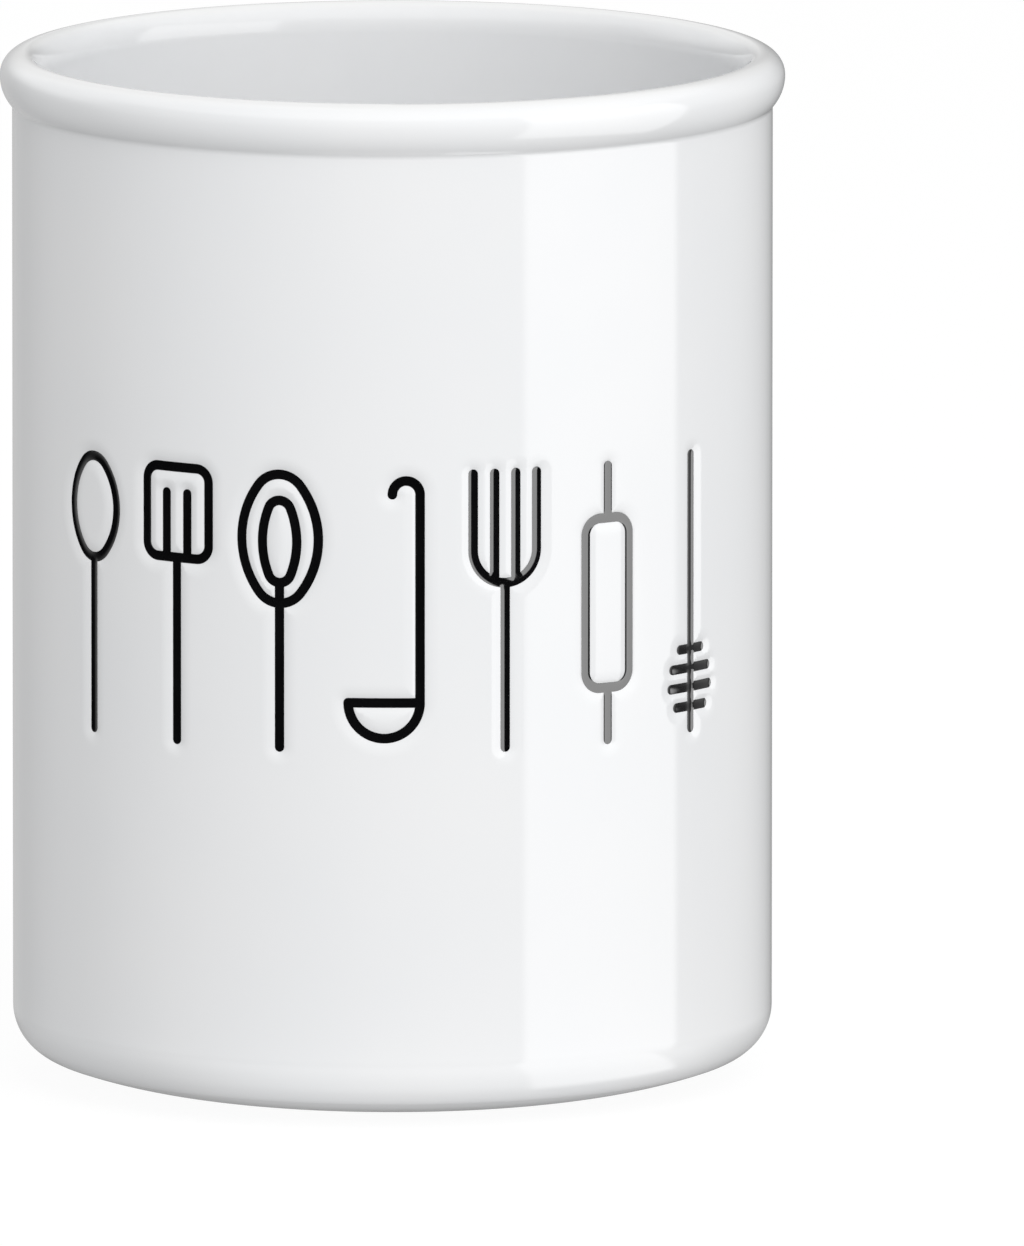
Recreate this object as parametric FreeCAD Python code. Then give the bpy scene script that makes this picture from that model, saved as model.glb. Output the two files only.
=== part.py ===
import FreeCAD, Part
import math
import os

# A straight-sided stoneware crock that holds kitchen utensils. A fired clay body carries a white
# glaze coat. Line drawings of utensils are pressed into its front, lined by the glaze and filled
# with black enamel. Millimetres, +Z up. The origin is on the axis, on the plane that the foot
# stands on, and the drawings face -Y.

# Outside sizes
crock_height = 184.15
rim_diameter = 139.7

# Thicknesses, of clay and glaze together at the wall and the floor
wall_thickness = 5.25
floor_thickness = 5.0
glaze_thickness = 0.4

# Rolled bead at the rim, how far it stands out from the wall, and the crease under it
bead_height = 9.25
bead_overhang = 2.2
crease_radius = 1.5

# Lip, over the top of the bead: an outer arc from the bead's widest line up to the crest, a tight
# arc just inside the crest, and a wide flare that runs down into the bore
lip_radius = 4.0
crest_radius = 2.5
flare_radius = 7.0

# Inside corner between wall and floor
floor_corner_radius = 9.0

# Base: a corner arc turns in from the wall, then a shallow sweep runs to the glaze line.
# The angles are the slope of the base where the sweep starts and at the glaze line.
base_corner_radius = 9.2
base_sweep_radius = 74.5
base_sweep_angle = 20.0
glaze_line_angle = 5.2

# Bare foot ring, and the glazed recess inside it
foot_flank_width = 1.0
foot_land_width = 6.0
recess_depth = 2.0
recess_dry_margin = 1.2

# Row of drawings, and the pitch between them along the wall
drawing_height = 49.0
drawing_middle_share = 0.508
drawing_pitch = 20.4
stroke_width = 1.7
press_depth = 0.6
enamel_recess = 0.25

# Strokes of each drawing, from left to right. All places and sizes are shares of the drawing's
# height, across from its middle and up from its foot. A bar has two ends. An oval has a centre
# and half axes, and a panel also a corner radius. An arch has a centre, a radius and two angles.
drawing_shares = {
    "spoon": [
        ("oval", (0, 0.81), (0.125, 0.185)),
        ("bar", (0, 0.625), (0, 0)),
    ],
    "turner": [
        ("panel", (0, 0.83), (0.135, 0.165), 0.05),
        ("bar", (-0.045, 0.665), (-0.045, 0.90)),
        ("bar", (0.045, 0.665), (0.045, 0.90)),
        ("bar", (0, 0.665), (0, 0)),
    ],
    "whisk": [
        ("oval", (0, 0.76), (0.145, 0.235)),
        ("oval", (0, 0.75), (0.065, 0.15)),
        ("bar", (0, 0.60), (0, 0)),
    ],
    "ladle": [
        ("arch", (0.05, 0.93), 0.05, (0, 180)),
        ("bar", (0.10, 0.93), (0.10, 0.17)),
        ("bar", (0.10, 0.17), (-0.16, 0.17)),
        ("arch", (-0.03, 0.17), 0.13, (180, 360)),
    ],
    "fork": [
        ("bar", (-0.12, 1), (-0.12, 0.72)),
        ("bar", (-0.04, 1), (-0.04, 0.62)),
        ("bar", (0.04, 1), (0.04, 0.62)),
        ("bar", (0.12, 1), (0.12, 0.72)),
        ("arch", (0, 0.72), 0.12, (180, 360)),
        ("bar", (0, 0.60), (0, 0)),
    ],
    "rolling_pin": [
        ("panel", (0, 0.5), (0.095, 0.31), 0.06),
        ("bar", (0, 0.81), (0, 1)),
        ("bar", (0, 0.19), (0, 0)),
    ],
    "dipper": [
        ("bar", (0, 1), (0, 0)),
        ("bar", (-0.06, 0.29), (0.06, 0.29)),
        ("bar", (-0.10, 0.22), (0.10, 0.22)),
        ("bar", (-0.11, 0.15), (0.11, 0.15)),
        ("bar", (-0.08, 0.08), (0.08, 0.08)),
    ],
}

# Radius of an oval's end arcs, as a share of its half axis across
oval_end_share = 0.68

# How far a cutting or sweeping shape runs past what it meets
overrun = 5.0

quarter_turn = 90
half_turn = 180
full_turn = 360

# Sizes that follow from those above
rim_radius = rim_diameter / 2
wall_radius = rim_radius - bead_overhang
bore_radius = wall_radius - wall_thickness
floor_height = recess_depth + floor_thickness
clay_floor_height = floor_height - glaze_thickness
clay_recess_depth = recess_depth + glaze_thickness
groove_floor_radius = wall_radius - press_depth
clay_groove_radius = groove_floor_radius - glaze_thickness
enamel_radius = wall_radius - enamel_recess
drawing_pitch_angle = math.degrees(drawing_pitch / wall_radius)


def place(radius, height):
    """A point of the crock's section."""
    return FreeCAD.Vector(radius, 0, height)


def around(centre, radius, angle):
    """A point on a circle in the section, at an angle up from the outward direction."""
    turn = math.radians(angle)
    return centre + place(radius * math.cos(turn), radius * math.sin(turn))


def straight(start, end):
    return Part.makeLine(start, end)


def arc(centre, radius, start_angle, end_angle):
    middle_angle = (start_angle + end_angle) / 2
    ends = [around(centre, radius, angle) for angle in (start_angle, middle_angle, end_angle)]
    return Part.Arc(*ends).toShape()


def face_inside(edges):
    return Part.Face(Part.Wire(Part.__sortEdges__(edges)))


def turned(edges):
    """The solid that a closed section makes when it turns about the axis."""
    return face_inside(edges).revolve(FreeCAD.Vector(), FreeCAD.Vector(0, 0, 1), full_turn)


# Centres of the section's arcs. The flank of the bead runs from its widest line down to the crease,
# and the flare touches both the crest's arc and the bore.
lip_centre = place(rim_radius - lip_radius, crock_height - lip_radius)
crest_centre = place(lip_centre.x, crock_height - crest_radius)
flare_out = bore_radius + flare_radius - crest_centre.x
flare_drop = math.sqrt((flare_radius - crest_radius) ** 2 - flare_out ** 2)
flare_centre = crest_centre + place(flare_out, -flare_drop)
flare_angle = half_turn - math.degrees(math.atan2(flare_drop, flare_out))
flank_drop = bead_height - lip_radius
flank_radius = (flank_drop ** 2 + bead_overhang ** 2) / (2 * bead_overhang)
flank_centre = place(rim_radius - flank_radius, lip_centre.z)
crease_out = wall_radius + crease_radius - flank_centre.x
crease_down = math.sqrt((flank_radius + crease_radius) ** 2 - crease_out ** 2)
crease_centre = flank_centre + place(crease_out, -crease_down)
flank_angle = math.degrees(math.atan2(crease_down, crease_out))

sweep_turn = math.radians(base_sweep_angle)
corner_rise = base_corner_radius * math.cos(sweep_turn)
sweep_rise = base_sweep_radius * (1 - math.cos(sweep_turn))
corner_centre = place(wall_radius - base_corner_radius, corner_rise + sweep_rise)
sweep_in = (base_sweep_radius - base_corner_radius) * math.sin(sweep_turn)
sweep_centre = place(corner_centre.x - sweep_in, base_sweep_radius)
floor_corner_centre = place(bore_radius - floor_corner_radius, floor_height + floor_corner_radius)


def glazed_line(depth):
    """The section of the glazed surface, or of what lies at a depth under it: from the glaze line
    up the outside, over the rim and down the inside to the middle of the floor."""
    corner_radius = base_corner_radius - depth
    sweep_start = glaze_line_angle - quarter_turn
    sweep_end = base_sweep_angle - quarter_turn
    inside_radius = floor_corner_radius + depth
    return [
        arc(sweep_centre, base_sweep_radius - depth, sweep_start, sweep_end),
        arc(corner_centre, corner_radius, sweep_end, 0),
        straight(
            around(corner_centre, corner_radius, 0),
            around(crease_centre, crease_radius + depth, half_turn),
        ),
        arc(crease_centre, crease_radius + depth, half_turn, half_turn - flank_angle),
        arc(flank_centre, flank_radius - depth, -flank_angle, 0),
        arc(lip_centre, lip_radius - depth, 0, quarter_turn),
        arc(crest_centre, crest_radius - depth, quarter_turn, flare_angle),
        arc(flare_centre, flare_radius - depth, flare_angle, half_turn),
        straight(
            around(flare_centre, flare_radius - depth, half_turn),
            around(floor_corner_centre, inside_radius, 0),
        ),
        arc(floor_corner_centre, inside_radius, 0, -quarter_turn),
        straight(
            around(floor_corner_centre, inside_radius, -quarter_turn),
            place(0, floor_height - depth),
        ),
    ]


def glaze_line_point(depth):
    return around(sweep_centre, base_sweep_radius - depth, glaze_line_angle - quarter_turn)


# Radii of the foot ring, worked inwards from where the clay leaves the glaze
foot_outer_radius = glaze_line_point(glaze_thickness).x - foot_flank_width
foot_inner_radius = foot_outer_radius - foot_land_width
recess_radius = foot_inner_radius - foot_flank_width


def plain_clay():
    """The clay body before the drawings are pressed into it."""
    underside = [
        place(0, clay_floor_height),
        place(0, clay_recess_depth),
        place(recess_radius, clay_recess_depth),
        place(foot_inner_radius, 0),
        place(foot_outer_radius, 0),
        glaze_line_point(glaze_thickness),
    ]
    foot = [straight(start, end) for start, end in zip(underside, underside[1:])]
    return turned(glazed_line(glaze_thickness) + foot)


def plain_coat():
    """The glaze coat before it follows the clay into the drawings."""
    ends = [
        straight(glaze_line_point(0), glaze_line_point(glaze_thickness)),
        straight(place(0, floor_height), place(0, clay_floor_height)),
    ]
    return turned(glazed_line(0) + glazed_line(glaze_thickness) + ends)


def drawn(shares):
    """A point of a drawing, in the plane that the drawings are laid out in."""
    across_share, up_share = shares
    foot_height = crock_height * drawing_middle_share - drawing_height / 2
    return place(across_share * drawing_height, foot_height + up_share * drawing_height)


def bar(width, start_shares, end_shares):
    """A straight stroke with round ends."""
    start = drawn(start_shares)
    end = drawn(end_shares)
    cap = (end - start).normalize() * (width / 2)
    side = place(-cap.z, cap.x)
    return face_inside([
        straight(start + side, end + side),
        Part.Arc(end + side, end + cap, end - side).toShape(),
        straight(end - side, start - side),
        Part.Arc(start - side, start - cap, start + side).toShape(),
    ])


def arch(width, centre_shares, radius_share, angles):
    """A round stroke with round ends."""
    centre = drawn(centre_shares)
    radius = radius_share * drawing_height
    start_angle, end_angle = angles
    cap = width / 2
    band = face_inside([
        arc(centre, radius + cap, start_angle, end_angle),
        straight(around(centre, radius + cap, end_angle), around(centre, radius - cap, end_angle)),
        arc(centre, radius - cap, end_angle, start_angle),
        straight(around(centre, radius - cap, start_angle), around(centre, radius + cap, start_angle)),
    ])
    ends = [around(centre, radius, angle) for angle in angles]
    caps = [face_inside([Part.Circle(end, FreeCAD.Vector(0, -1, 0), cap).toShape()]) for end in ends]
    return band.multiFuse(caps)


def oval(width, centre_shares, half_shares):
    """An upright oval stroke, of two end arcs and two longer side arcs."""
    centre = drawn(centre_shares)
    across, up = [share * drawing_height for share in half_shares]
    end_radius = across * oval_end_share
    side_radius = (across ** 2 + up ** 2 - 2 * up * end_radius) / (2 * (across - end_radius))
    end_hub = place(0, up - end_radius)
    side_hub = place(side_radius - across, 0)
    side_angle = math.degrees(math.atan2(end_hub.z, side_hub.x))

    def inside(grow):
        return face_inside([
            arc(centre - side_hub, side_radius + grow, -side_angle, side_angle),
            arc(centre + end_hub, end_radius + grow, side_angle, half_turn - side_angle),
            arc(centre + side_hub, side_radius + grow, half_turn - side_angle, half_turn + side_angle),
            arc(centre - end_hub, end_radius + grow, half_turn + side_angle, full_turn - side_angle),
        ])

    return inside(width / 2).cut(inside(-width / 2))


def panel(width, centre_shares, half_shares, corner_share):
    """An oblong stroke with round corners."""
    centre = drawn(centre_shares)
    corner = corner_share * drawing_height

    def inside(grow):
        radius = corner + grow
        reach = [share * drawing_height - corner for share in half_shares]
        signs = [(1, 1), (-1, 1), (-1, -1), (1, -1)]
        hubs = [centre + place(reach[0] * across, reach[1] * up) for across, up in signs]
        edges = []
        for index, hub in enumerate(hubs):
            angle = index * quarter_turn
            turn_end = angle + quarter_turn
            next_hub = hubs[(index + 1) % len(hubs)]
            edges.append(arc(hub, radius, angle, turn_end))
            edges.append(straight(around(hub, radius, turn_end), around(next_hub, radius, turn_end)))
        return face_inside(edges)

    return inside(width / 2).cut(inside(-width / 2))


stroke_makers = {"bar": bar, "arch": arch, "oval": oval, "panel": panel}


def drawing_block(name, width, inner_radius, outer_radius):
    """The strokes of one drawing, of a width, through the round layer between two radii."""
    faces = [stroke_makers[kind](width, *shares) for kind, *shares in drawing_shares[name]]
    strokes = [face.extrude(FreeCAD.Vector(0, -wall_radius - overrun, 0)) for face in faces]
    block = strokes[0].multiFuse(strokes[1:]).removeSplitter()
    step = list(drawing_shares).index(name) - (len(drawing_shares) - 1) / 2
    block.rotate(FreeCAD.Vector(), FreeCAD.Vector(0, 0, 1), step * drawing_pitch_angle)
    outer = Part.makeCylinder(outer_radius, crock_height)
    inner = Part.makeCylinder(inner_radius, crock_height)
    return block.common(outer).cut(inner)


def blocks(width, inner_radius, outer_radius):
    return [drawing_block(name, width, inner_radius, outer_radius) for name in drawing_shares]


# The clay is pressed wider than the strokes, by the glaze that lines it
lined_width = stroke_width + 2 * glaze_thickness
past_wall = wall_radius + overrun
inside_coat = wall_radius - glaze_thickness / 2

clay_body = plain_clay().cut(blocks(lined_width, clay_groove_radius, past_wall))
lined_coat = plain_coat().multiFuse(blocks(lined_width, clay_groove_radius, inside_coat))
glaze_coat = lined_coat.cut(blocks(stroke_width, groove_floor_radius, past_wall)).removeSplitter()
underside_glaze = Part.makeCylinder(
    recess_radius - recess_dry_margin, glaze_thickness, place(0, recess_depth)
)

parts = {"clay_body": clay_body, "glaze_coat": glaze_coat, "underside_glaze": underside_glaze}
for name in drawing_shares:
    parts[name + "_inlay"] = drawing_block(name, stroke_width, groove_floor_radius, enamel_radius)

os.makedirs("parts", exist_ok=True)
for name, shape in parts.items():
    shape.exportStep("parts/" + name + ".step")
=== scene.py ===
import math

import bpy
import numpy as np
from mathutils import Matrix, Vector
from mathutils.geometry import delaunay_2d_cdt


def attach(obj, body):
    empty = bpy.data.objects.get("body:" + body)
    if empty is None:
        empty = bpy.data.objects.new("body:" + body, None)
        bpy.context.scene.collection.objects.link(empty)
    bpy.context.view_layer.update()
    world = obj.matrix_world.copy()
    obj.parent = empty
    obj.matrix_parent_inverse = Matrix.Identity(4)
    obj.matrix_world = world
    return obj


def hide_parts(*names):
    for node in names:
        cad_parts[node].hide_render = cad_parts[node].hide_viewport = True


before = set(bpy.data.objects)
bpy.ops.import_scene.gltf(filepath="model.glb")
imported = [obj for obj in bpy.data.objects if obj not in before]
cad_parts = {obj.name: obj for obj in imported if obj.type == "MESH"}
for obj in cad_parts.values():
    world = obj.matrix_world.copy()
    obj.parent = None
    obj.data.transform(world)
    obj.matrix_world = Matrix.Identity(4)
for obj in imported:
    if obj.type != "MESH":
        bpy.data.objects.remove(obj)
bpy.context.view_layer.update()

# A white glazed stoneware crock with black line drawings of utensils pressed into its front.
# Shapes are worked out in millimetres, in the solids' frame, and scaled to metres at the end.
mm = 0.001

# Sizes of the crock, as in the solids
crock_height = 184.15
rim_radius = 69.85
wall_radius = 67.65
bore_radius = 62.4
floor_height = 7.0
glaze_depth = 0.4
bead_height = 9.25
crease_radius = 1.5
lip_radius = 4.0
crest_radius = 2.5
flare_radius = 7.0
floor_corner_radius = 9.0
base_corner_radius = 9.2
base_sweep_radius = 74.5
base_sweep_angle = 20.0
glaze_line_angle = 5.2
foot_flank_width = 1.0
foot_land_width = 6.0
recess_depth = 2.0
recess_dry_margin = 1.2

# Small roundings of the bare foot
foot_edge_radius = 0.45
recess_corner_radius = 0.8

# Shape of a pressed stroke: how deep the glaze rounds down to the enamel's edge, how wide its
# shoulder is, and how the enamel lies in it
shoulder_depth = 0.48
shoulder_width = 2.5
shoulder_power = 2.2
groove_depth = 0.64
groove_wall_width = 0.25
enamel_edge_depth = 0.42
enamel_sag = 0.14
enamel_half_width = 0.85
enamel_back_depth = 0.6

# The clay lies deeper under the glaze along the wall, so that the pressed strokes stay in the glaze
backing_depth = 1.1
backing_heights = (22.0, 26.0, 166.0, 170.0)

# Fineness of the meshes: columns round the axis, steps along each stretch of the section, and how
# many times finer the glaze's outer side is
columns = 288
sweep_steps = 4
base_corner_steps = 5
wall_steps = 2
crease_steps = 3
flank_steps = 4
lip_steps = 4
crest_steps = 3
flare_steps = 4
bore_steps = 3
floor_corner_steps = 4
floor_steps = 2
foot_flat_steps = 2
small_arc_steps = 8
recess_steps = 12
glaze_fineness = 4

# The panel that holds the drawings, its places beside the outlines, and tolerances in millimetres
panel_columns = 50
panel_heights = (64.0, 123.0)
panel_rows = 28
outline_step = 0.6
outline_offsets = (-0.8, -0.5, -0.2, 0.15, 0.4, 0.75, 1.2, 1.8, 2.5)
offset_tolerance = 0.04
grid_clearance = 2.9
slope_probe = 0.01
far_away = 99.0
places_at_once = 2000
weld_distance = 1e-4
triangle_tolerance = 1e-4
border_tolerance = 1e-6
outer_face_tolerance = 0.02
outline_cells_per_mm = 1000

inlay_nodes = sorted(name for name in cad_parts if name.endswith("_inlay"))


# Section of the crock, as rows of radius, height and the outward normal's two parts

def point(radius, height):
    return np.array([radius, height])


def around(centre, radius, angle):
    turn = math.radians(angle)
    return centre + radius * point(math.cos(turn), math.sin(turn))


def arc(centre, radius, start_angle, end_angle, steps):
    """An arc of the section. Its normal is on the right of the way it runs."""
    turn = np.radians(np.linspace(start_angle, end_angle, steps + 1))
    ray = np.stack([np.cos(turn), np.sin(turn)], axis=1)
    return np.hstack([centre + radius * ray, ray * math.copysign(1, end_angle - start_angle)])


def line(start, end, steps):
    """A straight stretch of the section, with its normal on the right of the way it runs."""
    share = np.linspace(0, 1, steps + 1)[:, None]
    way = (end - start) / np.linalg.norm(end - start)
    normal = np.tile(point(way[1], -way[0]), (steps + 1, 1))
    return np.hstack([start + share * (end - start), normal])


def run(*stretches):
    """Stretches of the section end to end, with the points where they meet kept once."""
    return np.concatenate([stretches[0]] + [stretch[1:] for stretch in stretches[1:]])


def rounded(corners, radii, steps):
    """A bent line of the section with its inner corners rounded."""
    stretches = []
    here = corners[0]
    for before, corner, after, radius in zip(corners, corners[1:], corners[2:], radii):
        come = (corner - before) / np.linalg.norm(corner - before)
        go = (after - corner) / np.linalg.norm(after - corner)
        bend = math.atan2(come[0] * go[1] - come[1] * go[0], come @ go)
        reach = radius * math.tan(abs(bend) / 2)
        side = math.copysign(1, bend)
        centre = corner - come * reach + side * radius * point(-come[1], come[0])
        start_angle = math.degrees(math.atan2(-side * come[0], side * come[1]))
        stretches.append(line(here, corner - come * reach, foot_flat_steps))
        stretches.append(arc(centre, radius, start_angle, start_angle + math.degrees(bend), steps))
        here = corner + go * reach
    stretches.append(line(here, corners[-1], foot_flat_steps))
    return run(*stretches)


lip_centre = point(rim_radius - lip_radius, crock_height - lip_radius)
crest_centre = point(lip_centre[0], crock_height - crest_radius)
flare_out = bore_radius + flare_radius - crest_centre[0]
flare_drop = math.sqrt((flare_radius - crest_radius) ** 2 - flare_out ** 2)
flare_centre = crest_centre + point(flare_out, -flare_drop)
flare_angle = 180 - math.degrees(math.atan2(flare_drop, flare_out))
bead_overhang = rim_radius - wall_radius
flank_drop = bead_height - lip_radius
flank_radius = (flank_drop ** 2 + bead_overhang ** 2) / (2 * bead_overhang)
flank_centre = point(rim_radius - flank_radius, lip_centre[1])
crease_out = wall_radius + crease_radius - flank_centre[0]
crease_down = math.sqrt((flank_radius + crease_radius) ** 2 - crease_out ** 2)
crease_centre = flank_centre + point(crease_out, -crease_down)
flank_angle = math.degrees(math.atan2(crease_down, crease_out))
sweep_turn = math.radians(base_sweep_angle)
corner_centre = point(
    wall_radius - base_corner_radius,
    base_corner_radius * math.cos(sweep_turn) + base_sweep_radius * (1 - math.cos(sweep_turn)),
)
sweep_in = (base_sweep_radius - base_corner_radius) * math.sin(sweep_turn)
sweep_centre = point(corner_centre[0] - sweep_in, base_sweep_radius)
floor_corner_centre = point(bore_radius - floor_corner_radius, floor_height + floor_corner_radius)
sweep_start = glaze_line_angle - 90
sweep_end = base_sweep_angle - 90


def base_run(depth, fineness=1):
    """From the glaze line round the base to the foot of the wall."""
    return run(
        arc(sweep_centre, base_sweep_radius - depth, sweep_start, sweep_end, sweep_steps * fineness),
        arc(corner_centre, base_corner_radius - depth, sweep_end, 0, base_corner_steps * fineness),
    )


def bead_run(depth, fineness=1):
    """From the crease over the bead and the lip to the bore."""
    return run(
        arc(crease_centre, crease_radius + depth, 180, 180 - flank_angle, crease_steps * fineness),
        arc(flank_centre, flank_radius - depth, -flank_angle, 0, flank_steps * fineness),
        arc(lip_centre, lip_radius - depth, 0, 90, lip_steps * fineness),
        arc(crest_centre, crest_radius - depth, 90, flare_angle, crest_steps * fineness),
        arc(flare_centre, flare_radius - depth, flare_angle, 180, flare_steps * fineness),
    )


def inside_run(depth, fineness=1):
    """From the lip down the bore and over the floor to the axis."""
    corner_radius = floor_corner_radius + depth
    bore_foot = around(floor_corner_centre, corner_radius, 0)
    floor_rim = around(floor_corner_centre, corner_radius, -90)
    return run(
        line(around(flare_centre, flare_radius - depth, 180), bore_foot, bore_steps * fineness),
        arc(floor_corner_centre, corner_radius, 0, -90, floor_corner_steps * fineness),
        line(floor_rim, point(0, floor_height - depth), floor_steps * fineness),
    )


def backing_run():
    """Where clay and glaze meet, from the glaze line to the axis."""
    base = base_run(glaze_depth)
    bead = bead_run(glaze_depth)
    low_start, low_end, high_start, high_end = backing_heights
    near = wall_radius - glaze_depth
    deep = wall_radius - backing_depth
    wall = run(
        line(base[-1, :2], point(near, low_start), 1),
        line(point(near, low_start), point(deep, low_end), 1),
        line(point(deep, low_end), point(deep, high_start), 1),
        line(point(deep, high_start), point(near, high_end), 1),
        line(point(near, high_end), bead[0, :2], 1),
    )
    return run(base, wall, bead, inside_run(glaze_depth))


def turned_back(section):
    """The same stretch run the other way, for the far side of a skin."""
    return section[::-1] * np.array([1, 1, -1, -1])


# Meshes

def on_wall(angle, radius, height):
    """Points at an angle round from the front, a radius and a height."""
    return np.stack([radius * np.sin(angle), -radius * np.cos(angle), height], axis=-1)


class Skin:
    """The corners, normals and faces of one piece in the making."""

    def __init__(self):
        self.corners = []
        self.normals = []
        self.faces = []
        self.count = 0

    def add(self, corners, normals, faces):
        self.corners.append(corners)
        self.normals.append(normals)
        self.faces.append(np.asarray(faces) + self.count)
        self.count += len(corners)

    def turn(self, section, first_column=0, last_column=columns):
        """Turn a section about the axis, from one column to another."""
        angle = np.radians(np.arange(first_column, last_column + 1) * 360 / columns)
        shape = (len(section), len(angle))
        radius, height, out, up = [np.broadcast_to(part[:, None], shape) for part in section.T]
        turns = np.broadcast_to(angle, shape)
        index = np.arange(shape[0] * shape[1]).reshape(shape)
        faces = np.stack([index[:-1, :-1], index[:-1, 1:], index[1:, 1:], index[1:, :-1]], axis=-1)
        self.add(
            on_wall(turns, radius, height).reshape(-1, 3),
            on_wall(turns, out, up).reshape(-1, 3),
            faces.reshape(-1, 4),
        )

    def piece(self, name, material, node):
        """Weld the corners into one mesh, keep the normals as worked out, and put it on its node."""
        corners = np.concatenate(self.corners)
        normals = np.concatenate(self.normals)
        cells = np.round(corners / weld_distance).astype(np.int64)
        _, kept, index = np.unique(cells, axis=0, return_index=True, return_inverse=True)
        index = index.reshape(-1)
        faces = []
        for group in self.faces:
            distinct = index[group] != index[np.roll(group, 1, axis=1)]
            whole = distinct.all(axis=1)
            faces.extend(group[whole].tolist())
            pointed = (distinct.sum(axis=1) == 3) & ~whole
            faces.extend(group[pointed][distinct[pointed]].reshape(-1, 3).tolist())
        picked = np.concatenate(faces)
        mesh = bpy.data.meshes.new(name)
        mesh.from_pydata((corners[kept] * mm).tolist(), [], [index[face].tolist() for face in faces])
        mesh.shade_smooth()
        mesh.normals_split_custom_set(normals[picked].tolist())
        mesh.materials.append(material)
        made = bpy.data.objects.new(name, mesh)
        bpy.context.scene.collection.objects.link(made)
        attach(made, "root")
        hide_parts(node)


# Outlines of the drawings, read from the solids and unrolled from the wall: millimetres across
# from the front and up from the foot

def outline_loops(node):
    """The closed loops round an inlay's outer face, with the enamel on their left."""
    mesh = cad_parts[node].data
    mesh.calc_loop_triangles()
    corners = np.array([vertex.co for vertex in mesh.vertices]) / mm
    radius = np.hypot(corners[:, 0], corners[:, 1])
    cells = np.round(corners * outline_cells_per_mm).astype(np.int64)
    _, kept, index = np.unique(cells, axis=0, return_index=True, return_inverse=True)
    index = index.reshape(-1)
    outer = radius > radius.max() - outer_face_tolerance
    spans = set()
    for triangle in mesh.loop_triangles:
        ring = list(triangle.vertices)
        if outer[ring].all():
            for start, end in zip(ring, ring[1:] + ring[:1]):
                spans.add((index[start], index[end]))
    following = {start: end for start, end in spans if (end, start) not in spans}
    places = corners[kept]
    unrolled = np.stack(
        [np.arctan2(places[:, 0], -places[:, 1]) * wall_radius, places[:, 2]], axis=1
    )
    loops = []
    while following:
        start, here = following.popitem()
        loop = [start]
        while here != start:
            loop.append(here)
            here = following.pop(here)
        loops.append(even_steps(unrolled[loop]))
    return loops


def even_steps(loop):
    """The loop with its long stretches divided."""
    places = []
    for start, end in zip(loop, np.roll(loop, -1, axis=0)):
        steps = max(1, math.ceil(np.linalg.norm(end - start) / outline_step))
        places.extend(start + (end - start) * step / steps for step in range(steps))
    return np.array(places)


def corner_normals(loop):
    """Unit vectors out of the enamel at a loop's corners."""
    way = np.roll(loop, -1, axis=0) - loop
    way /= np.linalg.norm(way, axis=1)[:, None]
    mean = way + np.roll(way, 1, axis=0)
    mean /= np.linalg.norm(mean, axis=1)[:, None]
    return np.stack([mean[:, 1], -mean[:, 0]], axis=1)


outlines = {node: outline_loops(node) for node in inlay_nodes}


def field_of(node, places):
    """How far places are from an inlay's outline, below zero inside it, and the way out of it."""
    loops = outlines[node]
    starts = np.concatenate(loops)
    edge = np.concatenate([np.roll(loop, -1, axis=0) for loop in loops]) - starts
    out = [corner_normals(loop) for loop in loops]
    start_out = np.concatenate(out)
    end_out = np.concatenate([np.roll(normals, -1, axis=0) for normals in out])
    rise = np.where(edge[:, 1] == 0, 1, edge[:, 1])
    distance = np.full(len(places), far_away)
    way_out = np.zeros((len(places), 2))
    near = (places > starts.min(0) - grid_clearance) & (places < starts.max(0) + grid_clearance)
    found = np.flatnonzero(near.all(axis=1))
    for part in np.array_split(found, 1 + len(found) // places_at_once):
        across = places[part, 0][:, None] - starts[:, 0]
        up = places[part, 1][:, None] - starts[:, 1]
        share = np.clip((across * edge[:, 0] + up * edge[:, 1]) / (edge ** 2).sum(1), 0, 1)
        gap = np.hypot(across - share * edge[:, 0], up - share * edge[:, 1])
        nearest = gap.argmin(axis=1)
        rows = np.arange(len(part))
        crossing = (up >= 0) != (up >= edge[:, 1])
        inside = (crossing & (across < up / rise * edge[:, 0])).sum(axis=1) % 2 == 1
        along = share[rows, nearest][:, None]
        distance[part] = gap[rows, nearest] * np.where(inside, -1, 1)
        way_out[part] = start_out[nearest] * (1 - along) + end_out[nearest] * along
    return distance, way_out


def stroke_field(places):
    """The same for the nearest of the drawings."""
    distance = np.full(len(places), far_away)
    way_out = np.zeros((len(places), 2))
    for node in inlay_nodes:
        node_distance, node_way = field_of(node, places)
        nearer = node_distance < distance
        distance[nearer] = node_distance[nearer]
        way_out[nearer] = node_way[nearer]
    return distance, way_out


def offset_places(node):
    """Places beside an inlay's outline at even distances, on both sides of it."""
    kept = []
    for loop in outlines[node]:
        outward = corner_normals(loop)
        for offset in outline_offsets:
            places = loop + outward * offset
            distance, _ = field_of(node, places)
            kept.append(places[np.abs(distance - offset) < offset_tolerance])
    return np.concatenate(kept)


# The panel of wall that holds the drawings, as triangles in the unrolled plane

column_angles = np.radians(np.arange(-panel_columns, panel_columns + 1) * 360 / columns)
column_places = column_angles * wall_radius
row_places = np.linspace(*panel_heights, panel_rows + 1)


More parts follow.
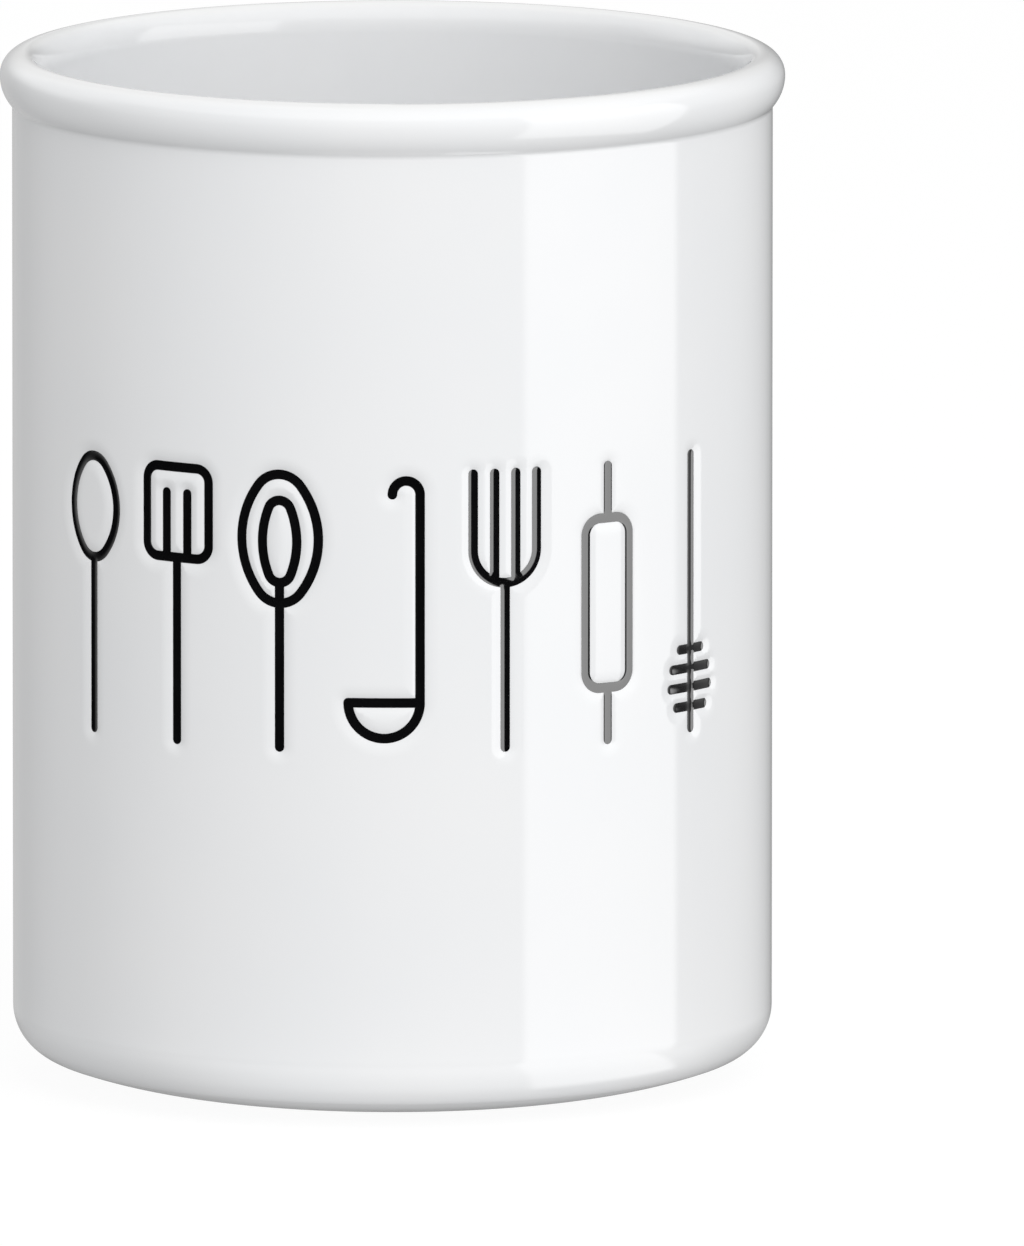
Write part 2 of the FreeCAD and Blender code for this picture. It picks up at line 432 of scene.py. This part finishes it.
def panel_triangles():
    grid = np.stack(np.meshgrid(column_places, row_places), axis=-1).reshape(-1, 2)
    border = (
        (np.abs(grid[:, 0]) > column_places[-1] - border_tolerance)
        | (grid[:, 1] < row_places[0] + border_tolerance)
        | (grid[:, 1] > row_places[-1] - border_tolerance)
    )
    distance, _ = stroke_field(grid)
    open_ground = distance > grid_clearance
    sets = []
    edges = []
    count = 0
    for node in inlay_nodes:
        for loop in outlines[node]:
            ring = np.arange(len(loop)) + count
            edges.extend(zip(ring.tolist(), np.roll(ring, -1).tolist()))
            sets.append(loop)
            count += len(loop)
    sets.extend(offset_places(node) for node in inlay_nodes)
    sets.append(grid[border | open_ground])
    places = [Vector(place) for place in np.concatenate(sets)]
    made = delaunay_2d_cdt(places, edges, [], 0, triangle_tolerance)
    corners, _, triangles = made[:3]
    return np.array([tuple(corner) for corner in corners]), np.array(triangles)


def shoulder_height(distance):
    """Height of the glaze beside a stroke, from the wall's own surface."""
    share = 1 - np.minimum(distance, shoulder_width) / shoulder_width
    return -shoulder_depth * share ** shoulder_power


def glaze_height(distance):
    """The same, with the groove that holds the enamel."""
    share = np.clip(-distance / groove_wall_width, 0, 1)
    return np.where(
        distance < 0,
        -shoulder_depth - (groove_depth - shoulder_depth) * share,
        shoulder_height(distance),
    )


def enamel_height(distance):
    """Height of the enamel, which dips between its edges."""
    share = np.minimum(-distance / enamel_half_width, 1)
    return -enamel_edge_depth - enamel_sag * (1 - (1 - share) ** 2)


def normals_of(height, places, distance, way_out):
    """Normals of a height over the wall that changes with the distance from the strokes."""
    slope = (height(distance + slope_probe) - height(distance - slope_probe)) / (2 * slope_probe)
    angle = places[:, 0] / wall_radius
    level = np.zeros(len(places))
    out = on_wall(angle, np.ones(len(places)), level)
    across = np.stack([np.cos(angle), np.sin(angle), level], axis=1)
    tilt = across * way_out[:, :1] + np.array([0, 0, 1]) * way_out[:, 1:]
    normals = out - tilt * slope[:, None]
    return normals / np.linalg.norm(normals, axis=1)[:, None]


def raised(places, height):
    """Points over the unrolled places at a height from the wall's surface."""
    return on_wall(places[:, 0] / wall_radius, wall_radius + height, places[:, 1])


# Shader nodes

class Wire:
    """One output of a material's nodes. Sums on values add Math nodes."""

    def __init__(self, tree, socket=None):
        self.tree = tree
        self.socket = socket

    def node(self, kind, settings=None, sockets=None, output=0):
        """Add a node: its settings first, then the values or links of its sockets."""
        made = self.tree.nodes.new(kind)
        for name, value in (settings or {}).items():
            setattr(made, name, value)
        for name, value in (sockets or {}).items():
            if isinstance(value, Wire):
                self.tree.links.new(value.socket, made.inputs[name])
            else:
                made.inputs[name].default_value = value
        return Wire(self.tree, made.outputs[output] if len(made.outputs) else None)

    def math(self, operation, first, second):
        return self.node("ShaderNodeMath", {"operation": operation}, {0: first, 1: second})

    def __add__(self, other):
        return self.math("ADD", self, other)

    def __radd__(self, other):
        return self.math("ADD", other, self)

    def __sub__(self, other):
        return self.math("SUBTRACT", self, other)

    def __rsub__(self, other):
        return self.math("SUBTRACT", other, self)

    def __mul__(self, other):
        return self.math("MULTIPLY", self, other)

    def __rmul__(self, other):
        return self.math("MULTIPLY", other, self)

    def step(self, low, high):
        """A smooth step from 0 at one value to 1 at another."""
        return self.node(
            "ShaderNodeMapRange",
            {"interpolation_type": "SMOOTHSTEP"},
            {"Value": self, "From Min": low, "From Max": high},
        )

    def tint(self, first, second):
        """The first colour where this is 0, the second where it is 1."""
        return self.node("ShaderNodeMix", {"data_type": "RGBA"}, {0: self, 6: first, 7: second}, 2)

    def noise(self, place, scale, detail=2.0):
        return self.node(
            "ShaderNodeTexNoise", {}, {"Vector": place, "Scale": scale, "Detail": detail}
        )

    def bump(self, height, strength, distance):
        return self.node(
            "ShaderNodeBump", {}, {"Height": height, "Strength": strength, "Distance": distance}
        )

    def place(self):
        return self.node("ShaderNodeTexCoord", output="Object")

    def axes(self, place):
        """A place's three coordinates as values."""
        split = self.node("ShaderNodeSeparateXYZ", {}, {0: place}).socket.node
        return [Wire(self.tree, split.outputs[axis]) for axis in ("X", "Y", "Z")]


def new_material(name):
    material = bpy.data.materials.new(name)
    material.use_nodes = True
    material.node_tree.nodes.clear()
    return material, Wire(material.node_tree)


def finish_surface(wire, shader):
    wire.node("ShaderNodeOutputMaterial", {}, {"Surface": shader})


def colour(red, green, blue):
    return (red, green, blue, 1.0)


# Materials. Scales of noise are per metre, and heights and bumps are in metres
surface_bump_strength = 0.03
surface_bump_height = 0.0001


def white_glaze():
    """Glossy white glaze, a little warmer where it runs thin over the lip."""
    deep_white = colour(0.868, 0.878, 0.890)
    pale_white = colour(0.884, 0.890, 0.898)
    warm_white = colour(0.880, 0.870, 0.850)
    warm_share = 0.35
    thin_heights = (0.1828, 0.18415)
    cloud_scale = 26.0
    cloud_range = (0.3, 0.7)
    peel_scale = 240.0
    least_roughness = 0.035
    roughness_spread = 0.03
    refractive_index = 1.5
    material, wire = new_material("white_glaze")
    place = wire.place()
    _, _, height = wire.axes(place)
    cloud = wire.noise(place, cloud_scale, 3.0)
    thin = height.step(*thin_heights)
    body = cloud.step(*cloud_range).tint(deep_white, pale_white)
    shader = wire.node("ShaderNodeBsdfPrincipled", {}, {
        "Base Color": (thin * warm_share).tint(body, warm_white),
        "Roughness": least_roughness + cloud * roughness_spread,
        "IOR": refractive_index,
        "Normal": wire.bump(
            wire.noise(place, peel_scale), surface_bump_strength, surface_bump_height
        ),
    })
    finish_surface(wire, shader)
    return material


def black_enamel():
    """Glossy black enamel. Its high index gives the grey of the softbox in the strokes."""
    deep_black = colour(0.002, 0.002, 0.002)
    pale_black = colour(0.006, 0.006, 0.007)
    cloud_scale = 90.0
    grain_scale = 600.0
    least_roughness = 0.05
    roughness_spread = 0.05
    refractive_index = 2.15
    material, wire = new_material("black_enamel")
    place = wire.place()
    cloud = wire.noise(place, cloud_scale, 3.0)
    shader = wire.node("ShaderNodeBsdfPrincipled", {}, {
        "Base Color": cloud.tint(deep_black, pale_black),
        "Roughness": least_roughness + cloud * roughness_spread,
        "IOR": refractive_index,
        "Normal": wire.bump(
            wire.noise(place, grain_scale), surface_bump_strength, surface_bump_height
        ),
    })
    finish_surface(wire, shader)
    return material


def fired_clay():
    """Bare stoneware of the foot: buff, matt and gritty, with dark specks."""
    dark_buff = colour(0.60, 0.51, 0.40)
    pale_buff = colour(0.74, 0.66, 0.54)
    speck_brown = colour(0.17, 0.11, 0.07)
    speck_share = 0.8
    cloud_scale = 60.0
    cloud_range = (0.25, 0.75)
    grain_scale = 1400.0
    grit_scale = 650.0
    grit_edge = (0.12, 0.22)
    speck_range = (0.45, 0.6)
    least_roughness = 0.8
    roughness_spread = 0.15
    grain_strength = 0.5
    grain_height = 0.0002
    material, wire = new_material("fired_clay")
    place = wire.place()
    cloud = wire.noise(place, cloud_scale, 4.0)
    grain = wire.noise(place, grain_scale, 3.0)
    body = cloud.step(*cloud_range).tint(dark_buff, pale_buff)
    grit = wire.node(
        "ShaderNodeTexVoronoi", {}, {"Vector": place, "Scale": grit_scale, "Randomness": 1.0}
    )
    speck = (1 - grit.step(*grit_edge)) * cloud.step(*speck_range)
    shader = wire.node("ShaderNodeBsdfPrincipled", {}, {
        "Base Color": (speck * speck_share).tint(body, speck_brown),
        "Roughness": least_roughness + grain * roughness_spread,
        "Normal": wire.bump(grain, grain_strength, grain_height),
    })
    finish_surface(wire, shader)
    return material


glaze = white_glaze()
enamel = black_enamel()
clay = fired_clay()


# Glaze coat

panel_places, panel_faces = panel_triangles()
panel_distance, panel_way_out = stroke_field(panel_places)


def make_glaze_coat():
    skin = Skin()
    base = base_run(0, glaze_fineness)
    bead = bead_run(0, glaze_fineness)
    low, high = (point(wall_radius, height) for height in panel_heights)
    lower_wall = line(base[-1, :2], low, wall_steps * glaze_fineness)
    upper_wall = line(high, bead[0, :2], wall_steps * glaze_fineness)
    skin.turn(run(base, lower_wall))
    skin.turn(line(low, high, panel_rows), panel_columns, columns - panel_columns)
    skin.turn(run(upper_wall, bead, inside_run(0, glaze_fineness)))
    skin.add(
        raised(panel_places, glaze_height(panel_distance)),
        normals_of(shoulder_height, panel_places, panel_distance, panel_way_out),
        panel_faces,
    )
    backing = turned_back(backing_run())
    nose_middle = around(sweep_centre, base_sweep_radius - glaze_depth / 2, sweep_start)
    nose = arc(nose_middle, glaze_depth / 2, sweep_start + 180, sweep_start + 360, small_arc_steps)
    skin.turn(run(backing, nose))
    skin.piece("glaze_coat_visual", glaze, "glaze_coat")


# Enamel in the drawings

def make_inlay(node):
    skin = Skin()
    centre_distance, _ = field_of(node, panel_places[panel_faces].mean(axis=1))
    faces = panel_faces[centre_distance < 0]
    used, local = np.unique(faces, return_inverse=True)
    faces = local.reshape(faces.shape)
    places = panel_places[used]
    distance = panel_distance[used]
    angle = places[:, 0] / wall_radius
    out = on_wall(angle, np.ones(len(places)), np.zeros(len(places)))
    top = raised(places, enamel_height(distance))
    back = raised(places, np.full(len(places), -enamel_back_depth))
    skin.add(top, normals_of(enamel_height, places, distance, panel_way_out[used]), faces)
    skin.add(back, -out, faces[:, ::-1])
    spans = {(a, b) for face in faces.tolist() for a, b in zip(face, face[1:] + face[:1])}
    rim = np.array(sorted((a, b) for a, b in spans if (b, a) not in spans))
    way = places[rim[:, 1]] - places[rim[:, 0]]
    way /= np.linalg.norm(way, axis=1)[:, None]
    turn = places[rim[:, 0], 0] / wall_radius
    level = np.zeros(len(rim))
    across = np.stack([np.cos(turn), np.sin(turn), level], axis=1)
    side = across * way[:, 1:] - np.array([0, 0, 1]) * way[:, :1]
    ring = [back[rim[:, 0]], back[rim[:, 1]], top[rim[:, 1]], top[rim[:, 0]]]
    count = len(rim)
    quads = np.arange(4 * count).reshape(4, count).T
    skin.add(np.concatenate(ring), np.tile(side, (4, 1)), quads)
    skin.piece(node + "_visual", enamel, node)


# Clay body, of which the foot ring and the recess show

glaze_end = around(sweep_centre, base_sweep_radius - glaze_depth, sweep_start)
foot_outer_radius = glaze_end[0] - foot_flank_width
foot_inner_radius = foot_outer_radius - foot_land_width
recess_radius = foot_inner_radius - foot_flank_width


def make_clay_body():
    ceiling = recess_depth + glaze_depth
    underside = rounded(
        [
            point(0, ceiling),
            point(recess_radius, ceiling),
            point(foot_inner_radius, 0),
            point(foot_outer_radius, 0),
            glaze_end,
        ],
        [recess_corner_radius, foot_edge_radius, foot_edge_radius],
        small_arc_steps,
    )
    skin = Skin()
    skin.turn(underside)
    skin.turn(backing_run())
    skin.piece("clay_body_visual", clay, "clay_body")


def make_underside_glaze():
    """Pool of glaze inside the foot ring, with a round edge."""
    edge = recess_radius - recess_dry_margin
    half = glaze_depth / 2
    middle = point(edge - half, recess_depth + half)
    skin = Skin()
    skin.turn(run(
        line(point(0, recess_depth), middle - point(0, half), recess_steps),
        arc(middle, half, -90, 90, small_arc_steps),
        line(middle + point(0, half), point(0, recess_depth + glaze_depth), recess_steps),
    ))
    skin.piece("underside_glaze_visual", glaze, "underside_glaze")


make_glaze_coat()
make_clay_body()
make_underside_glaze()
for node in inlay_nodes:
    make_inlay(node)


# Camera, at the photograph's place: its axis meets the crock's, and the frame is moved sideways
camera_distance = 8.6
camera_elevation = math.radians(8.716)
target = Vector((0, 0, 0.08139))
pixels_per_mm = 5.6139
frame_width = 1024
frame_height = 1246
axis_column = 392.4
sensor_size = 36.0
camera_near_clip = 0.1
camera_far_clip = 100.0

camera_data = bpy.data.cameras.new("camera")
camera_data.sensor_width = sensor_size
camera_data.lens = pixels_per_mm * camera_distance / mm * sensor_size / frame_height
camera_data.shift_x = (frame_width / 2 - axis_column) / frame_height
camera_data.clip_start = camera_near_clip
camera_data.clip_end = camera_far_clip
camera = bpy.data.objects.new("camera", camera_data)
bpy.context.scene.collection.objects.link(camera)
away = Vector((0, -math.cos(camera_elevation), math.sin(camera_elevation)))
camera.location = target + away * camera_distance
camera.rotation_euler = (-away).to_track_quat("-Z", "Y").to_euler()
bpy.context.scene.camera = camera


# Parts of the studio

def seen_rays(wire):
    """1 for the rays that show the background: those of the camera, gloss and glass."""
    path = wire.node("ShaderNodeLightPath").socket.node
    rays = [Wire(wire.tree, path.outputs[name]) for name in (
        "Is Camera Ray", "Is Glossy Ray", "Is Transmission Ray",
    )]
    return wire.math("MINIMUM", rays[0] + rays[1] + rays[2], 1.0)


def direction(azimuth, elevation):
    """A unit vector at degrees round to the right from the front and up from the horizon."""
    turn, rise = math.radians(azimuth), math.radians(elevation)
    flat = math.cos(rise)
    return Vector((math.sin(turn) * flat, -math.cos(turn) * flat, math.sin(rise)))


def azimuth_of(wire, right, back):
    """Degrees round to the right from the front."""
    return wire.math("ARCTAN2", right, 0 - back) * math.degrees(1)


def studio_object(name, corners, faces, material):
    mesh = bpy.data.meshes.new(name)
    mesh.from_pydata(corners, [], faces)
    mesh.materials.append(material)
    made = bpy.data.objects.new(name, mesh)
    bpy.context.scene.collection.objects.link(made)
    return made


def level_square(name, half, material):
    corners = [(-half, -half, 0), (half, -half, 0), (half, half, 0), (-half, half, 0)]
    return studio_object(name, corners, [(0, 1, 2, 3)], material)


# Floor: white to the camera, with the crock's faint shadow, and clear from below
floor_half = 8.0
floor_colour = 0.8
floor_white_share = 0.86
floor_white_level = 1.06


def make_floor():
    material, wire = new_material("floor_white")
    plain = wire.node("ShaderNodeBsdfDiffuse", {}, {"Color": colour(*[floor_colour] * 3)})
    bright = wire.node("ShaderNodeEmission", {}, {"Strength": floor_white_level})
    lit = wire.node(
        "ShaderNodeMixShader", {}, {0: seen_rays(wire) * floor_white_share, 1: plain, 2: bright}
    )
    clear = wire.node("ShaderNodeBsdfTransparent")
    back = wire.node("ShaderNodeNewGeometry", output="Backfacing")
    finish_surface(wire, wire.node("ShaderNodeMixShader", {}, {0: back, 1: lit, 2: clear}))
    floor = level_square("floor", floor_half, material)
    floor.visible_diffuse = False
    floor.visible_glossy = False
    floor.visible_transmission = False
    floor.visible_shadow = False


make_floor()

# Surround, which only the gloss sees. Pairs are the degrees between which a tone comes in or ends,
# and the softbox's right side ends at shares of the surround's radius.
surround_radius = 1.5
surround_centre = Vector((0, 0, 0.09))
surround_steps = 48
surround_floor = (-50, -20)
left_grey_level = 0.32
left_grey_end = (-125, -95)
left_rear_level = 0.22
left_rear_end = (-165, -140)
right_grey_level = 0.54
right_grey_start = (88, 128)
gap_level = 0.32
gap_start = (132, 170)
gap_end = (173, 180)
gap_top = (8, 20)
white_above = (30, 44)
white_above_left = (6, 24)
above_left_end = (-120, -80)
window_level = 0.4
window_start = (-168, -148)
softbox_level = 1.9
softbox_left = (38, 41.5)
softbox_bottom = (-41, -33)
softbox_top = (31, 39)
softbox_right_shares = (0.04, 0.11)


def make_surround():
    """A ball round the crock: dark in front, grey behind, white above, with one upright softbox."""
    material, wire = new_material("surround")
    right, back, up = wire.axes(wire.place())
    turn = azimuth_of(wire, right, back)

    def raised_past(low, high):
        ends = [surround_radius * math.sin(math.radians(angle)) for angle in (low, high)]
        return up.step(*ends)

    left_grey = left_grey_level * (1 - turn.step(*left_grey_end))
    left_grey = left_grey + left_rear_level * (1 - turn.step(*left_rear_end))
    gap = turn.step(*gap_start) * (1 - turn.step(*gap_end)) * (1 - raised_past(*gap_top))
    right_grey = right_grey_level * turn.step(*right_grey_start) - gap_level * gap
    above_left = raised_past(*white_above_left) * (1 - turn.step(*above_left_end))
    dim = (1 - raised_past(*white_above)) * (1 - above_left)
    window = above_left * turn.step(*window_start)
    softbox = turn.step(*softbox_left) * raised_past(*softbox_bottom)
    softbox = softbox * (1 - raised_past(*softbox_top))
    softbox = softbox * (1 - back.step(*[surround_radius * share for share in softbox_right_shares]))
    level = (left_grey + right_grey - 1) * dim + 1 + window * window_level
    level = level * raised_past(*surround_floor) + softbox * softbox_level
    finish_surface(wire, wire.node("ShaderNodeEmission", {}, {"Color": level}))
    row = surround_steps + 1
    corners = [
        tuple(direction(azimuth, elevation) * surround_radius)
        for elevation in np.linspace(-90, 90, row) for azimuth in np.linspace(-180, 180, row)
    ]
    faces = [
        (i * row + j, i * row + j + 1, (i + 1) * row + j + 1, (i + 1) * row + j)
        for i in range(surround_steps) for j in range(surround_steps)
    ]
    surround = studio_object("surround", corners, faces, material)
    surround.location = surround_centre
    surround.visible_camera = False
    surround.visible_diffuse = False
    surround.visible_transmission = False
    surround.visible_volume_scatter = False
    surround.visible_shadow = False


make_surround()

# The floor close round the base, as the base sees it: a ring of soft light, and for the gloss a
# painted reflection of the bright floor in front and the grey one behind, a painted shadow under the
# base and a painted reflection of the softbox in the floor.
# Reaches from the axis are in metres. The softbox's inner edge moves out with its degrees round.
near_floor_reach = 0.11
near_floor_fade = 0.085
near_floor_drop = 0.001
near_floor_level = 0.05
near_floor_front_level = 0.3
near_floor_front_azimuth = 14.0
near_floor_front = (0.035, 0.067)
ring_inner_edge = (0.053, 0.061)
ring_outer_edge = (0.072, 0.090)
mirror_under_level = 0.3
mirror_under_front_loss = 0.22
mirror_edge = (0.063, 0.069)
mirror_level = 0.1
mirror_front_level = 0.75
mirror_softbox_level = 1.4
mirror_softbox_left = (23.5, 26.5)
mirror_softbox_right = (56, 60)
mirror_softbox_edge = (0.0609, 0.0644)
mirror_softbox_slant = 0.0001


def make_near_floor():
    material, wire = new_material("near_floor")
    right, back, _ = wire.axes(wire.place())
    reach = wire.math("POWER", right * right + back * back, 0.5)
    turn = azimuth_of(wire, right, back)
    front = direction(near_floor_front_azimuth, 0)
    ahead = (right * front.x + back * front.y).step(*near_floor_front)
    ring = reach.step(*ring_inner_edge) * (1 - reach.step(*ring_outer_edge))
    glow = wire.node("ShaderNodeEmission", {}, {
        "Color": ring * (near_floor_level + near_floor_front_level * ahead),
    })
    clear = wire.node("ShaderNodeBsdfTransparent")
    soft = wire.node("ShaderNodeAddShader", {}, {0: glow, 1: clear})
    # Painted shadow under the base, and painted reflections of the floor and of the softbox, seen
    # only by the gloss
    under = mirror_under_level - ahead * mirror_under_front_loss
    open_floor = reach.step(*mirror_edge) * (mirror_level + ahead * mirror_front_level)
    softbox = turn.step(*mirror_softbox_left) * (1 - turn.step(*mirror_softbox_right))
    softbox = softbox * (reach - turn * mirror_softbox_slant).step(*mirror_softbox_edge)
    mirrored = wire.node("ShaderNodeEmission", {}, {
        "Color": under + open_floor + softbox * mirror_softbox_level,
    })
    glossy = wire.node("ShaderNodeLightPath", output="Is Glossy Ray")
    near = glossy * (1 - reach.step(near_floor_fade, near_floor_reach))
    finish_surface(wire, wire.node("ShaderNodeMixShader", {}, {0: near, 1: soft, 2: mirrored}))
    patch = level_square("near_floor", near_floor_reach, material)
    patch.location.z = -near_floor_drop
    patch.visible_camera = False
    patch.visible_transmission = False
    patch.visible_shadow = False


make_near_floor()

# Key lamp and sky, which give the body of the colour. The sky's pairs are of a direction's parts.
key_azimuth = 22.0
key_elevation = 38.0
key_distance = 2.4
key_size = 1.75
key_power = 25.2
sky_upper_level = 0.68
sky_side_level = 0.59
sky_front_level = 0.37
sky_front_azimuth = 25.0
sky_front = (-0.2, 0.9)
sky_nadir_level = 0.25
sky_nadir = (-0.95, -0.45)
sky_horizon = (-0.25, 0.25)

key_direction = direction(key_azimuth, key_elevation)
lamp_data = bpy.data.lights.new("key_lamp", "AREA")
lamp_data.size = key_size
lamp_data.energy = key_power
lamp = bpy.data.objects.new("key_lamp", lamp_data)
bpy.context.scene.collection.objects.link(lamp)
lamp.location = surround_centre + key_direction * key_distance
lamp.rotation_euler = key_direction.to_track_quat("Z", "Y").to_euler()
lamp.visible_glossy = False
lamp.visible_camera = False


def make_sky():
    world = bpy.data.worlds.new("sky")
    bpy.context.scene.world = world
    world.use_nodes = True
    world.node_tree.nodes.clear()
    wire = Wire(world.node_tree)
    right, back, up = wire.axes(wire.node("ShaderNodeTexCoord", output="Generated"))
    front = direction(sky_front_azimuth, 0)
    ahead = right * front.x + back * front.y
    lower = sky_side_level + sky_front_level * ahead.step(*sky_front)
    lower = sky_nadir_level + (lower - sky_nadir_level) * up.step(*sky_nadir)
    high = up.step(*sky_horizon)
    soft = lower * (1 - high) + sky_upper_level * high
    seen = seen_rays(wire)
    sky = wire.node("ShaderNodeBackground", {}, {"Color": soft * (1 - seen) + seen})
    wire.node("ShaderNodeOutputWorld", {}, {"Surface": sky})


make_sky()
bpy.context.scene.view_settings.view_transform = "Standard"
